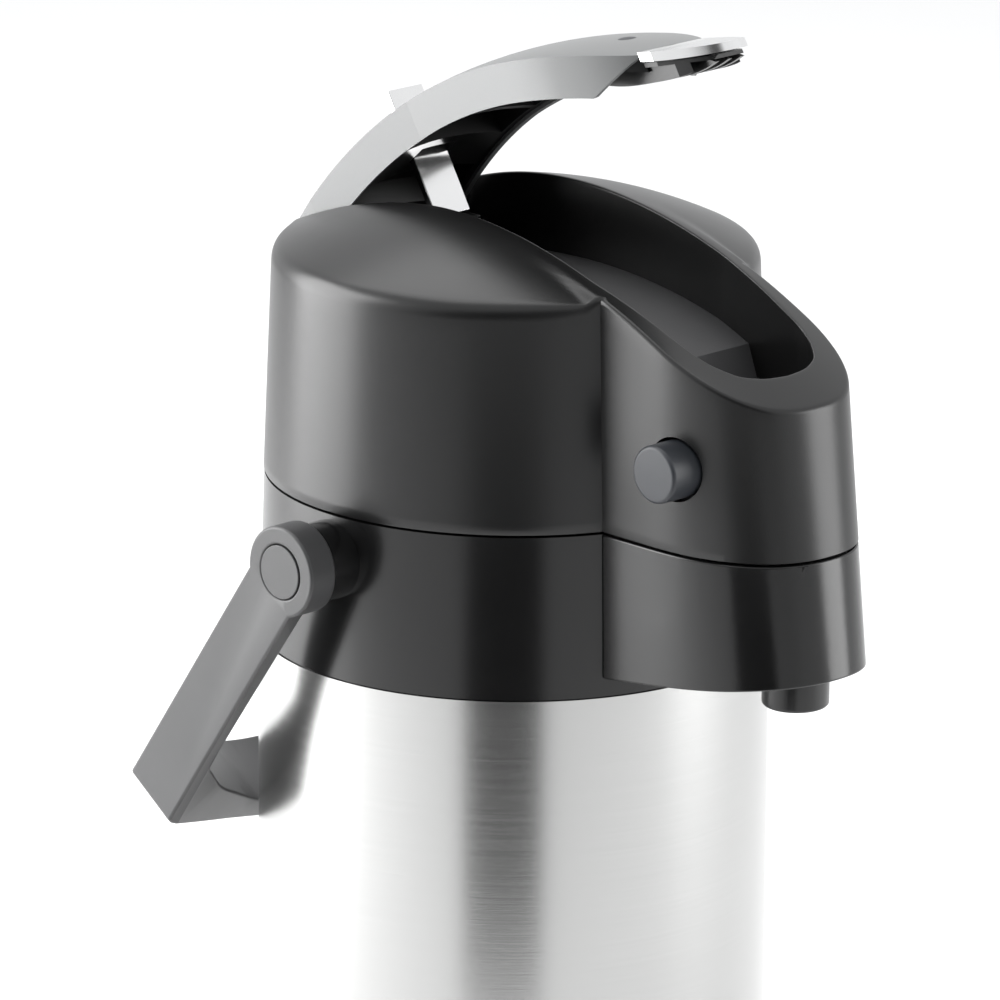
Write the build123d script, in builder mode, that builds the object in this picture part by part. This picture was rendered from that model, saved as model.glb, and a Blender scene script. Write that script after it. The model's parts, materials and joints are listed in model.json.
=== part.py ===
"""Lever airpot for hot coffee: a vacuum bottle in a steel jacket that turns on its base, a hinged
lid that holds the lever and the air pump, a spout nose at the front, and a carrying bail.

Frame: +Z up, origin at the centre of the base on the floor. The spout points along -Y, the lid
hinge is at +Y, and the pot is the same on both sides of X = 0 but for the lid's release button,
which is on the -X side. It is drawn with the lever raised and the bail hanging behind the body.
"""
import os
from math import cos, radians, sin, sqrt

from build123d import *

os.makedirs("parts", exist_ok=True)

# ---- driving dimensions, in mm ----------------------------------------------------------------
body_r = 77.5              # outside of the steel jacket
base_h = 14                # height of the turning base, up to the jacket
seam_z = 281               # plane where the lid rests on the collar
seam_gap = 0.8             # open line between the lid and the collar
collar_h = 50              # height of the collar below the seam
collar_r = 75.6            # collar at the seam
collar_low_r = 77.0        # collar at its lower edge
lid_r = 75.8               # lid at the seam
shoulder_r = 73.4          # lid just under the shoulder
crease_r = 71.2            # where the rounded shoulder meets the dome
crease_h = 69.6            # height of that crease above the seam
dome_h = 86.5              # top of the dome above the seam
wall = 2.4                 # plastic wall
jacket_t = 0.8             # steel sheet

nose_w = 30.9              # half width of the nose at the seam
nose_front = 132.4         # reach of the nose at the seam
nose_lean = 0.123          # how far the front leans out per mm of height
nose_flare = 0.01          # the same for each side
nose_straight = 88         # the sides stay straight as far as this
crown_r = 90               # depth of the axis that the crowned top is turned about

recess_w = 26              # half width of the recess under the lever
recess_tip_w = 22.5        # half width near its front end
recess_front = 114         # reach of the recess
recess_rear = 69.5         # radius of its round back end
recess_rear_w = 29.5       # half width at the back, where it widens for the lever

lever_angle = 31.5         # the lever stands this far above its pressed position
hinge_y, hinge_h = 60, 63  # lever pin, behind the axis and above the seam
lever_w = 24.3             # half width of the lever's parallel part
lever_rear_w = 28          # and at its back end
tip_w = 13.8               # half width of the lever's chrome tip
lever_len = 173            # from the pin to the tip
arch_r = 163               # radius of the lever's arch, seen from the side
arch_u, arch_v = 63.2, -137.8  # centre of that arch, in the lever's own axes
foot_u, foot_v = 32.1, -8.3    # lower end of the lock plate, in the lever's own axes

pump_y = 28                # the pump sits below the lock plate's foot
bellows_r = 30
head_top = 72.0            # top of the plunger above the seam

pivot_h = -14              # bail pivot, from the seam
bail_tilt = 35             # the bail hangs this far behind straight down
bail_len = 104             # pivot to the corner of the arm
hub_in, hub_out = 86, 96   # inner and outer faces of the bail's hubs
arm_out = 96               # outer face of an arm
arm_t, arm_w = 5, 21       # thickness and width of an arm
grip_reach = 144           # pivot to the outer edge of the grip, in the middle

button_y, button_h = -98, 25.5
button_r = 8.7
button_out = 8             # how far the button stands out

nozzle_y = -119.3
nozzle_r = 10
nozzle_bottom = -47.6

lid_hinge_y = 81           # pin of the lid, on the seam plane

# ---- frames used more than once ---------------------------------------------------------------
up = sin(radians(lever_angle))
ahead = cos(radians(lever_angle))
lever_origin = (0, hinge_y, seam_z + hinge_h)
lever_side = Plane(origin=lever_origin, x_dir=(0, -ahead, up), z_dir=(-1, 0, 0))
lever_plan = Plane(origin=lever_origin, x_dir=(0, -ahead, up), z_dir=(0, up, ahead))

drop = sin(radians(bail_tilt))
bail_plane = Plane(
    origin=(0, 0, seam_z + pivot_h),
    x_dir=(1, 0, 0),
    z_dir=(0, -cos(radians(bail_tilt)), -drop),
)


def z(height):
    """Height above the floor of a place given from the seam."""
    return seam_z + height


# ---- the lid's form ---------------------------------------------------------------------------
def drum_form(inset):
    """Slightly tapered drum with a rounded shoulder and a shallow dome."""
    with BuildPart() as drum:
        with BuildSketch(Plane.XZ):
            with BuildLine():
                foot = (lid_r - inset, z(seam_gap / 2))
                shoulder = (shoulder_r - inset, z(crease_h - 4.5 - inset / 2))
                crease = (crease_r - inset, z(crease_h - inset))
                top = (0, z(dome_h - inset))
                Polyline((0, foot[1]), foot, shoulder)
                RadiusArc(shoulder, crease, -4)
                RadiusArc(crease, top, -158.5)
                Line(top, (0, foot[1]))
            make_face()
        revolve(axis=Axis.Z)
    return drum.part


def nose_outline(height, inset):
    """Outline of the nose's plan at a height above the seam: straight sides and a rounded front."""
    side = nose_w - nose_flare * height - inset
    front = -(nose_front - nose_lean * height - inset)
    bend = -nose_straight
    bulge = 0.5 ** (1 / 2.35)      # the front is a superellipse, between a circle and a square
    quarter = (side * bulge, bend + (front - bend) * bulge)
    with BuildLine() as outline:
        Line((side, -20), (side, bend))
        Spline((side, bend), quarter, (0, front), tangents=((0, -1), (-1, 0)))
        Spline((0, front), (-quarter[0], quarter[1]), (-side, bend), tangents=((-1, 0), (0, 1)))
        Polyline((-side, bend), (-side, -20), (side, -20))
    return outline.line


def nose_block(low, high, inset):
    """Block with the plan of the nose between two heights, leaning outwards as it goes down."""
    with BuildPart() as block:
        for height in (low, high):
            with BuildSketch(Plane.XY.offset(z(height))):
                with BuildLine():
                    add(nose_outline(height, inset))
                make_face()
        loft()
    return block.part


def nose_form(inset):
    """Upper nose: the block cut off by a top that falls towards the front and is crowned across."""
    axis_h = seam_z - crown_r
    with BuildPart() as nose:
        with BuildSketch(Plane.YZ):
            with BuildLine():
                back = (-20, z(84 - inset))
                tip = (-150, z(31 - inset))
                Spline(
                    back,
                    (-62, z(75.2 - inset)),
                    (-93, z(62.5 - inset)),
                    (-127, z(44.5 - inset)),
                    tip,
                )
                Polyline(tip, (tip[0], axis_h), (back[0], axis_h), back)
            make_face()
        revolve(axis=Axis((0, 0, axis_h), (0, 1, 0)))
        add(nose_block(seam_gap / 2, 84, inset), mode=Mode.INTERSECT)
    return nose.part


def lid_form(inset):
    """Whole outside of the lid, drawn in by inset."""
    with BuildPart() as form:
        add(drum_form(inset))
        add(nose_form(inset))
    return form.part


def recess_prism(grow):
    """Upright prism with the plan of the recess, widened by grow."""
    with BuildPart() as prism:
        with BuildSketch(Plane.XY.offset(z(30))):
            with BuildLine():
                rear = recess_rear + grow
                corner_x = recess_rear_w + grow
                corner = (corner_x, sqrt(rear**2 - corner_x**2))
                RadiusArc((0, rear), corner, rear)
                Polyline(corner, (corner_x, 55), (recess_w + grow, 8), (recess_w + grow, -60))
                Line((recess_w + grow, -60), (recess_tip_w + grow, -96))
                ThreePointArc(
                    (recess_tip_w + grow, -96),
                    (recess_tip_w * 0.7 + grow * 0.8, -109.5 - grow * 0.7),
                    (0, -recess_front - grow),
                )
                Line((0, -recess_front - grow), (0, rear))
            make_face()
            mirror(about=Plane.YZ)
        extrude(amount=70)
    return prism.part


def floor_solid(offset_up):
    """Everything below the recess floor, which arches under the lever and steps into a finger well."""
    width = 60
    with BuildPart() as ground:
        with BuildSketch(Plane.YZ):
            with BuildLine():
                Spline(
                    (80, z(43 + offset_up)),
                    (36, z(56.5 + offset_up)),
                    (0, z(60.5 + offset_up)),
                    (-38, z(58 + offset_up)),
                    (-74, z(48.5 + offset_up)),
                )
                Polyline(
                    (-74, z(48.5 + offset_up)),
                    (-78, z(39 + offset_up)),
                    (-125, z(35 + offset_up)),
                    (-125, z(20)),
                    (80, z(20)),
                    (80, z(43 + offset_up)),
                )
            make_face()
        extrude(amount=width / 2, both=True)
    return ground.part


# ---- base that the pot turns on -----------------------------------------------------------------
pad_r, pad_t = 66, 1.5     # rubber pad that the pot stands on

with BuildPart() as swivel_base:
    with BuildSketch():
        Circle(body_r - 4)
    extrude(amount=6)
    fillet(swivel_base.edges().group_by(Axis.Z)[-1], radius=1.5)
    with BuildSketch(Plane.XY.offset(6)):
        Circle(18)
    extrude(amount=5)
    with BuildSketch():
        Circle(pad_r)
    extrude(amount=pad_t, mode=Mode.SUBTRACT)

with BuildPart() as foot_pad:
    with BuildSketch():
        Circle(pad_r)
    extrude(amount=pad_t)

with BuildPart() as swivel_washer:
    with BuildSketch(Plane.XY.offset(6.1)):
        Circle(60)
        Circle(46, mode=Mode.SUBTRACT)
    extrude(amount=0.9)

# ---- bottle and jacket ---------------------------------------------------------------------------
hub_bore = 18.08           # runs on the base's hub

with BuildPart() as base_ring:
    with BuildSketch(Plane.XZ):
        with BuildLine():
            Polyline((hub_bore, 7.3), (body_r - 3.2, 7.3), (body_r - 3.2, 3), (body_r - 0.7, 3))
            Polyline((body_r - 0.7, 3), (body_r, 4.5), (body_r, base_h), (body_r - 1, base_h))
            Polyline((body_r - 1, base_h), (body_r - 1, base_h + 6), (body_r - 4, base_h + 6))
            Polyline((body_r - 4, base_h + 6), (body_r - 4, 10.3), (hub_bore, 10.3), (hub_bore, 7.3))
        make_face()
    revolve(axis=Axis.Z)

with BuildPart() as outer_jacket:
    with BuildSketch(Plane.XY.offset(base_h)):
        Circle(body_r)
        Circle(body_r - jacket_t, mode=Mode.SUBTRACT)
    extrude(amount=z(-collar_h) - 0.3 - base_h)

with BuildPart() as jacket_bottom:
    with BuildSketch(Plane.XY.offset(base_h + 6.2)):
        Circle(body_r - jacket_t)
    extrude(amount=1)

bottle_low = 26
bottle_r = 71
neck_r = 27
neck_top = -18
bottle_t = 3.0             # two thin walls with the vacuum between them

with BuildPart() as inner_bottle:
    with BuildSketch(Plane.XZ):
        with BuildLine():
            Line((0, bottle_low), (bottle_r - 12, bottle_low))
            RadiusArc((bottle_r - 12, bottle_low), (bottle_r, bottle_low + 12), -12)
            Line((bottle_r, bottle_low + 12), (bottle_r, z(-66)))
            RadiusArc((bottle_r, z(-66)), (neck_r + 8, z(-40)), -52)
            RadiusArc((neck_r + 8, z(-40)), (neck_r, z(-30)), 14)
            Line((neck_r, z(-30)), (neck_r, z(neck_top)))
            Line((neck_r, z(neck_top)), (0, z(neck_top)))
            Line((0, z(neck_top)), (0, bottle_low))
        make_face()
    revolve(axis=Axis.Z)
    offset(amount=-bottle_t, openings=inner_bottle.faces().sort_by(Axis.Z)[-1])

with BuildPart() as bottle_cushion:
    with BuildSketch(Plane.XY.offset(base_h + 7.2)):
        Circle(50)
        Circle(30, mode=Mode.SUBTRACT)
    extrude(amount=bottle_low - base_h - 7.2)

with BuildPart() as mouth_seal:
    with BuildSketch(Plane.XY.offset(z(neck_top))):
        Circle(neck_r)
        Circle(neck_r - bottle_t, mode=Mode.SUBTRACT)
    extrude(amount=2)


# ---- collar with the bail bosses and the lid hinge ------------------------------------------------
def collar_cone(grow):
    """Outer form of the collar, grown or drawn in by grow."""
    with BuildPart() as cone:
        with BuildSketch(Plane.XY.offset(z(-collar_h))):
            Circle(collar_low_r + grow)
        with BuildSketch(Plane.XY.offset(z(-seam_gap / 2))):
            Circle(collar_r + grow)
        loft()
    return cone.part


boss_r = 12
deck_h = -1.6              # top of the deck under the lid's gasket
lug_x, lug_y, lug_h = 20, -82, -4.8
screw_r = 2
boss_face = hub_in - 0.5   # the hubs turn just outside this face

with BuildPart() as collar:
    add(collar_cone(0))
    with BuildSketch(Plane.YZ.offset(-boss_face)):
        with Locations((0, z(pivot_h))):
            Circle(boss_r)
    extrude(amount=2 * boss_face)
    add(collar_cone(-wall - 1), mode=Mode.SUBTRACT)
    # the deck that carries the lid's gasket, with the funnel round the bottle's mouth
    with BuildSketch(Plane.XY.offset(z(deck_h - 3))):
        Circle(collar_r - wall)
        Circle(neck_r + 6, mode=Mode.SUBTRACT)
    extrude(amount=3)
    with BuildSketch(Plane.XY.offset(z(-32))):
        Circle(neck_r + 8)
        Circle(neck_r + 6, mode=Mode.SUBTRACT)
    extrude(amount=32 + deck_h)
    # spigot that fits inside the jacket
    with BuildSketch(Plane.XY.offset(z(-collar_h - 8))):
        Circle(body_r - jacket_t - 0.1)
        Circle(body_r - jacket_t - 3.1, mode=Mode.SUBTRACT)
    extrude(amount=11)
    # window for the delivery pipe, behind the spout cover
    with BuildSketch(Plane.XY.offset(z(-17))):
        with Locations((0, -62)):
            Rectangle(22, 60)
    extrude(amount=17 + deck_h - 3, mode=Mode.SUBTRACT)
    # lugs that the spout cover is screwed to
    for side in (-1, 1):
        with BuildSketch(Plane.XY.offset(z(lug_h - 8))):
            with Locations((side * lug_x, lug_y + 3)):
                Rectangle(9, 15)
            with Locations((side * lug_x, lug_y)):
                Circle(screw_r, mode=Mode.SUBTRACT)
        extrude(amount=8)



# ---- spout cover, nozzle and the pipe that feeds it --------------------------------------------
cover_rear_low = -45       # lower edge of the cover where it meets the collar
cover_front_low = -36      # and at its front


def cover_form(inset, floor_up):
    """Lower nose, cut off below by a floor that rises towards the front."""
    with BuildPart() as form:
        add(nose_block(-52, -seam_gap / 2, inset))
        with BuildSketch(Plane.YZ):
            with BuildLine():
                rear = (-67, z(cover_rear_low + floor_up))
                front = (-138, z(cover_front_low + floor_up))
                Polyline((-20, rear[1]), rear, front, (-150, front[1]))
                Polyline((-150, front[1]), (-150, z(0)), (-20, z(0)), (-20, rear[1]))
            make_face()
        extrude(amount=50, both=True, mode=Mode.INTERSECT)
        add(collar_cone(0.1), mode=Mode.SUBTRACT)
    return form.part


with BuildPart() as spout_cover:
    add(cover_form(0, 0))
    add(cover_form(wall, wall), mode=Mode.SUBTRACT)
    with BuildSketch(Plane.XY.offset(z(-60))):
        with Locations((0, nozzle_y)):
            Circle(nozzle_r + 0.2)
    extrude(amount=30, mode=Mode.SUBTRACT)
    # strap across the cover, over the collar's lugs
    with BuildSketch(Plane.XY.offset(z(lug_h))):
        with Locations((0, lug_y)):
            Rectangle(2 * (nose_w - wall + 0.5), 10)
        with Locations((-lug_x, lug_y), (lug_x, lug_y)):
            Circle(screw_r, mode=Mode.SUBTRACT)
    extrude(amount=2)

pipe_h = -9.4              # the delivery pipe runs this far below the seam
pipe_r, pipe_bore = 4.5, 3.2
pipe_start = -14

with BuildPart() as delivery_pipe:
    with BuildLine() as pipe_line:
        Line((0, pipe_start, z(pipe_h)), (0, nozzle_y + 12, z(pipe_h)))
        RadiusArc((0, nozzle_y + 12, z(pipe_h)), (0, nozzle_y, z(pipe_h - 12)), 12)
        Line((0, nozzle_y, z(pipe_h - 12)), (0, nozzle_y, z(-30)))
    with BuildSketch(Plane(origin=(0, pipe_start, z(pipe_h)), z_dir=(0, -1, 0))):
        Circle(pipe_r)
        Circle(pipe_bore, mode=Mode.SUBTRACT)
    sweep()

with BuildPart() as nozzle:
    with BuildSketch(Plane.XZ.offset(-nozzle_y)):
        with BuildLine():
            low = z(nozzle_bottom)
            Polyline((pipe_bore, low), (nozzle_r - 0.8, low), (nozzle_r, low + 0.8), (nozzle_r, z(-33)))
            Polyline((nozzle_r, z(-33)), (nozzle_r + 2, z(-33)), (nozzle_r + 2, z(-31)), (pipe_r + 2, z(-31)))
            Polyline((pipe_r + 2, z(-31)), (pipe_r + 2, z(-24)), (pipe_r, z(-24)), (pipe_r, z(-30)))
            Polyline((pipe_r, z(-30)), (pipe_bore, z(-30)), (pipe_bore, low))
        make_face()
    revolve(axis=Axis((0, nozzle_y, 0), (0, 0, 1)))

with BuildPart() as stem_head:
    with BuildSketch(Plane.XY.offset(z(neck_top + 2))):
        Circle(neck_r - 1)
    extrude(amount=2)
    with BuildSketch(Plane.XY.offset(z(-30))):
        Circle(neck_r - bottle_t - 0.5)
        Circle(neck_r - bottle_t - 2.5, mode=Mode.SUBTRACT)
    extrude(amount=15)
    with BuildSketch(Plane.XY.offset(z(-16))):
        Circle(9)
    extrude(amount=12)
    with BuildSketch(Plane.XZ):
        with Locations((0, z(pipe_h))):
            Circle(pipe_r + 2.6)
    extrude(amount=20)
    with BuildSketch(Plane.XY.offset(z(-40))):
        Circle(pipe_r)
    extrude(amount=28, mode=Mode.SUBTRACT)
    with BuildSketch(Plane.XZ):
        with Locations((0, z(pipe_h))):
            Circle(pipe_bore)
    extrude(amount=20, mode=Mode.SUBTRACT)
    with BuildSketch(Plane.XZ.offset(-pipe_start)):
        with Locations((0, z(pipe_h))):
            Circle(pipe_r + 1.2)
    extrude(amount=10, mode=Mode.SUBTRACT)
    with BuildSketch(Plane.XY.offset(z(-20))):
        with PolarLocations(17, 5, start_angle=-18):
            Circle(2.2)
    extrude(amount=10, mode=Mode.SUBTRACT)

with BuildPart() as dip_tube:
    with BuildSketch(Plane.XY.offset(bottle_low + bottle_t + 6)):
        Circle(pipe_r)
        Circle(pipe_bore, mode=Mode.SUBTRACT)
    extrude(amount=z(-12.2) - bottle_low - bottle_t - 6)
    with BuildSketch(Plane.XY.offset(bottle_low + bottle_t + 4)):
        with PolarLocations((pipe_r + pipe_bore) / 2, 4):
            Circle(0.6)
    extrude(amount=2.1)

with BuildPart() as pipe_seal:
    with BuildSketch(Plane.XZ.offset(-pipe_start + 1)):
        with Locations((0, z(pipe_h))):
            Circle(pipe_r + 1.2)
            Circle(pipe_r, mode=Mode.SUBTRACT)
    extrude(amount=3)



def screw(origin, direction, length):
    """Round-headed screw: origin is under its head, and the shank runs along direction."""
    plane = Plane(origin=origin, z_dir=direction)
    with BuildPart() as body:
        with BuildSketch(plane):
            Circle(screw_r)
        extrude(amount=length)
        with BuildSketch(plane):
            Circle(2 * screw_r)
        extrude(amount=-1.6)
        with BuildSketch(plane.offset(-1.6)):
            Rectangle(0.8, 3)
            Rectangle(3, 0.8)
        extrude(amount=0.9, mode=Mode.SUBTRACT)
    return body.part


with BuildPart() as spout_screws:
    for side in (-1, 1):
        add(screw((side * lug_x, lug_y, z(lug_h + 2)), (0, 0, -1), 9))

# ---- lid ---------------------------------------------------------------------------------------
floor_t = 2.4              # thickness of the recess floor
pin_r = 2.5                # lever pin

with BuildPart() as recess_skirt:
    add(recess_prism(wall))
    add(recess_prism(0), mode=Mode.SUBTRACT)
    add(lid_form(0), mode=Mode.INTERSECT)
    add(floor_solid(-floor_t), mode=Mode.SUBTRACT)

with BuildPart() as lid_shell:
    add(lid_form(0))
    add(lid_form(wall), mode=Mode.SUBTRACT)
    with BuildSketch(Plane.XY.offset(z(0))):
        with Locations((0, -50)):
            Rectangle(2 * (nose_w - wall), 50)
    extrude(amount=wall + 1, mode=Mode.SUBTRACT)
    add(recess_prism(0), mode=Mode.SUBTRACT)
    add(recess_skirt.part)
    # the recess is open at the back, where the lever's heel closes it
    with BuildSketch(Plane.XY.offset(z(60))):
        with Locations((0, 65)):
            Rectangle(2 * recess_rear_w, 30)
    extrude(amount=30, mode=Mode.SUBTRACT)
    with BuildSketch(Plane.YZ.offset(-recess_rear_w - 1.5)):
        with Locations((hinge_y, z(hinge_h))):
            Circle(pin_r)
    extrude(amount=2 * recess_rear_w + 3, mode=Mode.SUBTRACT)
    with BuildSketch(Plane.XY.offset(z(-1))):
        Circle(lid_r - wall - 0.1)
    extrude(amount=4.4, mode=Mode.SUBTRACT)
    # hole for the release button
    with BuildSketch(Plane.YZ.offset(-50)):
        with Locations((button_y, z(button_h))):
            Circle(button_r + 1)
    extrude(amount=40, mode=Mode.SUBTRACT)
    # ear for the lid's hinge pin
    with BuildSketch(Plane.YZ.offset(-9)):
        with BuildLine():
            Polyline((74, z(9)), (lid_hinge_y, z(5)), (lid_hinge_y + 4.5, z(0)), (lid_hinge_y, z(-4.4)))
            Polyline((lid_hinge_y, z(-4.4)), (lid_hinge_y - 4, z(0.6)), (74, z(0.6)), (74, z(9)))
        make_face()
    extrude(amount=18)
    with BuildSketch(Plane.YZ.offset(-20)):
        with Locations((lid_hinge_y, z(0))):
            Circle(2.06)
    extrude(amount=40, mode=Mode.SUBTRACT)

plunger_slot = (19, 19.5)  # opening for the plunger's head: across, and front to back
slot_y = 27.5

with BuildPart() as recess_tray:
    add(recess_prism(-0.1))
    add(floor_solid(0), mode=Mode.INTERSECT)
    add(floor_solid(-floor_t), mode=Mode.SUBTRACT)
    # sleeve that guides the plunger
    with BuildSketch(Plane.XY.offset(z(49))):
        with Locations((0, slot_y)):
            Rectangle(plunger_slot[0] + 4, plunger_slot[1] + 4)
    extrude(amount=9)
    with BuildSketch(Plane.XY.offset(z(40))):
        with Locations((0, slot_y)):
            Rectangle(*plunger_slot)
    extrude(amount=40, mode=Mode.SUBTRACT)
    # raised rib beside the slot and the small drain hole in front of it
    with BuildSketch(Plane.XY.offset(z(50))):
        with Locations((-15, 16)):
            RectangleRounded(9, 34, 2)
    extrude(amount=13.5)
    with BuildSketch(Plane.XY.offset(z(40))):
        with Locations((0, 2)):
            RectangleRounded(7, 9, 2)
    extrude(amount=40, mode=Mode.SUBTRACT)

with BuildPart() as lid_plate:
    with BuildSketch(Plane.XY.offset(z(seam_gap / 2))):
        Circle(lid_r - wall - 0.2)
    extrude(amount=3)
    with BuildSketch(Plane.XY.offset(z(seam_gap / 2))):
        with BuildLine():
            add(nose_outline(0, wall + 0.4))
        make_face()
    extrude(amount=3)
    with BuildSketch(Plane.XY.offset(z(0))):
        with PolarLocations(14, 6):
            Circle(2.5)
        with GridLocations(100, 60, 2, 2):
            Circle(screw_r)
        with Locations((-23, button_y)):
            Rectangle(11, 14)
    extrude(amount=5, mode=Mode.SUBTRACT)
    with BuildSketch(Plane.XY.offset(z(seam_gap / 2))):
        with GridLocations(100, 60, 2, 2):
            Circle(2 * screw_r)
    extrude(amount=1.6, mode=Mode.SUBTRACT)

with BuildPart() as lid_gasket:
    with BuildSketch(Plane.XY.offset(z(deck_h))):
        Circle(42)
        Circle(36, mode=Mode.SUBTRACT)
    extrude(amount=seam_gap / 2 - deck_h)

with BuildPart() as lid_screws:
    for x, y in ((-50, -30), (-50, 30), (50, -30), (50, 30)):
        add(screw((x, y, z(seam_gap / 2 + 1.6)), (0, 0, 1), 9))

with BuildPart() as lid_hinge_pin:
    with BuildSketch(Plane.YZ.offset(-20)):
        with Locations((lid_hinge_y, z(0))):
            Circle(2)
    extrude(amount=40)

with BuildPart() as lid_hinge_bracket:
    with BuildSketch(Plane.YZ.offset(-20)):
        with BuildLine():
            Polyline((76.3, z(-14)), (lid_hinge_y + 1, z(-14)), (lid_hinge_y + 4.5, z(-4)))
            Polyline((lid_hinge_y + 4.5, z(-4)), (lid_hinge_y + 4.5, z(2)), (lid_hinge_y + 2, z(4.5)))
            Polyline((lid_hinge_y + 2, z(4.5)), (lid_hinge_y - 2, z(4.5)), (lid_hinge_y - 4.5, z(2)))
            Polyline((lid_hinge_y - 4.5, z(2)), (lid_hinge_y - 4.5, z(-5)), (76.3, z(-14)))
        make_face()
    extrude(amount=40)
    with BuildSketch(Plane.YZ.offset(-9.4)):
        with Locations((lid_hinge_y, z(4))):
            Rectangle(20, 20)
    extrude(amount=18.8, mode=Mode.SUBTRACT)
    with BuildSketch(Plane.YZ.offset(-20)):
        with Locations((lid_hinge_y, z(0))):
            Circle(2)
    extrude(amount=40, mode=Mode.SUBTRACT)

# ---- pump --------------------------------------------------------------------------------------
disc_h = head_top - 26     # top of the plunger's disc above the seam
bellows_low = 6
folds = 6

with BuildPart() as pump_base:
    with BuildSketch(Plane.XY.offset(z(seam_gap / 2 + 3))):
        with Locations((0, pump_y)):
            Circle(bellows_r + 2)
    extrude(amount=bellows_low - seam_gap / 2 - 3)
    with BuildSketch(Plane.XY.offset(z(bellows_low))):
        with Locations((0, pump_y)):
            Circle(6)
    extrude(amount=6)

with BuildPart() as bellows:
    with BuildSketch(Plane.XZ.offset(-pump_y)):
        with BuildLine():
            pitch = (disc_h - 4 - bellows_low) / folds
            outer = []
            for fold in range(folds):
                outer.append((bellows_r - 5, z(bellows_low + fold * pitch)))
                outer.append((bellows_r, z(bellows_low + (fold + 0.5) * pitch)))
            outer.append((bellows_r - 5, z(disc_h - 4)))
            inner = [(r - 1.2, h) for r, h in reversed(outer)]
            Polyline(*outer, *inner, outer[0])
        make_face()
    revolve(axis=Axis((0, pump_y, 0), (0, 0, 1)))

with BuildPart() as plunger:
    with BuildSketch(Plane.XY.offset(z(disc_h - 4))):
        with Locations((0, pump_y)):
            Circle(bellows_r - 2)
    extrude(amount=4)
    with BuildSketch(Plane.XY.offset(z(disc_h))):
        with Locations((0, pump_y + 1)):
            RectangleRounded(16, 12, 1.5)
    extrude(amount=head_top - disc_h)

with BuildPart() as return_spring:
    with BuildLine() as coil:
        Helix(6, 30, 12, center=(0, pump_y, z(bellows_low + 2)))
    with BuildSketch(Plane(origin=coil.line @ 0, z_dir=coil.line % 0)):
        Circle(0.9)
    sweep()

# ---- lever -------------------------------------------------------------------------------------
crown_axis = -100          # the cover is turned about a line this far below the pin
notch_u = 147              # end of the silver cover, where the chrome tip begins
grip_u = 120               # start of the finger grip under the tip
skirt = 12                 # depth of the cover's sides


def lever_outline(inset, front):
    """Outline of the lever's plan: round heel, long sides, and a taper to the tip."""
    rear = lever_rear_w - inset
    side = lever_w - inset
    end = tip_w - inset
    with BuildLine() as outline:
        ThreePointArc((-1 + inset, -rear), (-8 + inset, 0), (-1 + inset, rear))
        Polyline((-1 + inset, rear), (6, rear), (58, side), (104, side))
        Spline((104, side), (128, side - 2.6), (front, end), tangents=((1, 0), (1, -0.9)))
        Line((front, end), (front, -end))
        Spline((front, -end), (128, 2.6 - side), (104, -side), tangents=((-1, -0.9), (-1, 0)))
        Polyline((104, -side), (58, -side), (6, -rear), (-1 + inset, -rear))
    return outline.line


def lever_slab(inset, depth, front):
    """Arched and crowned slab of the lever: its top drawn in by inset, its bottom at depth."""
    centre = (arch_u, arch_v)
    first, sweep_angle = 57, 61
    with BuildPart() as slab:
        with BuildSketch(lever_side):
            with BuildLine():
                upper = CenterArc(centre, arch_r - inset, first, sweep_angle)
                lower = CenterArc(centre, arch_r - depth, first, sweep_angle)
                Line(upper @ 0, lower @ 0)
                Line(upper @ 1, lower @ 1)
            make_face()
        axis_origin = lever_side.from_local_coords((0, crown_axis, 0))
        revolve(axis=Axis(axis_origin, lever_side.x_dir))
        with BuildSketch(lever_plan):
            with BuildLine():
                add(lever_outline(inset, front))
            make_face()
        extrude(amount=60, both=True, mode=Mode.INTERSECT)
    return slab.part


def lever_box(start, end, half_width, height=60):
    """Block across the lever between two distances from the pin."""
    with BuildPart() as block:
        with BuildSketch(lever_plan):
            with Locations(((start + end) / 2, 0)):
                Rectangle(end - start, 2 * half_width)
        extrude(amount=height, both=True)
    return block.part


plate_t, plate_w = 2.4, 14
plate_top = 33             # upper end of the lock plate, which stands out as a thumb tab
lock_travel = 5
lock_slot = lever_box(foot_u - plate_t / 2 - 0.3, foot_u + plate_t / 2 + lock_travel + 0.3, plate_w / 2 + 0.3)

with BuildPart() as lever_cover:
    add(lever_slab(0, skirt, notch_u))
    add(lever_slab(1.6, 40, notch_u - 0.01), mode=Mode.SUBTRACT)
    add(lock_slot, mode=Mode.SUBTRACT)
    # the sides end in a slant that leaves the finger grip free
    with BuildSketch(lever_side):
        with BuildLine():
            Polyline((129.5, -5.4), (notch_u + 1, 0.6), (notch_u + 1, -30), (129.5, -30), (129.5, -5.4))
        make_face()
    extrude(amount=40, both=True, mode=Mode.SUBTRACT)
    with BuildSketch(lever_side.offset(-40)):
        Circle(pin_r + 0.4)
    extrude(amount=80, mode=Mode.SUBTRACT)

with BuildPart() as rib_pockets:
    for start in (8, 43, 62, 81, 100):
        add(lever_box(start, start + 17, lever_rear_w))
    add(lever_slab(3.7, 60, notch_u), mode=Mode.INTERSECT)

with BuildPart() as lever_body:
    add(lever_slab(1.7, skirt - 1, notch_u - 0.1))
    add(lever_box(grip_u, notch_u + 10, lever_rear_w), mode=Mode.SUBTRACT)
    add(rib_pockets.part, mode=Mode.SUBTRACT)
    with BuildSketch(lever_side.offset(-12)):
        Circle(4.6)
    extrude(amount=24)
    with BuildSketch(lever_side.offset(-40)):
        Circle(pin_r + 0.05)
    extrude(amount=80, mode=Mode.SUBTRACT)
    add(lock_slot, mode=Mode.SUBTRACT)

with BuildPart() as lever_pin:
    with BuildSketch(lever_side.offset(-recess_rear_w - 1.5)):
        Circle(pin_r)
    extrude(amount=2 * recess_rear_w + 3)

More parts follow.
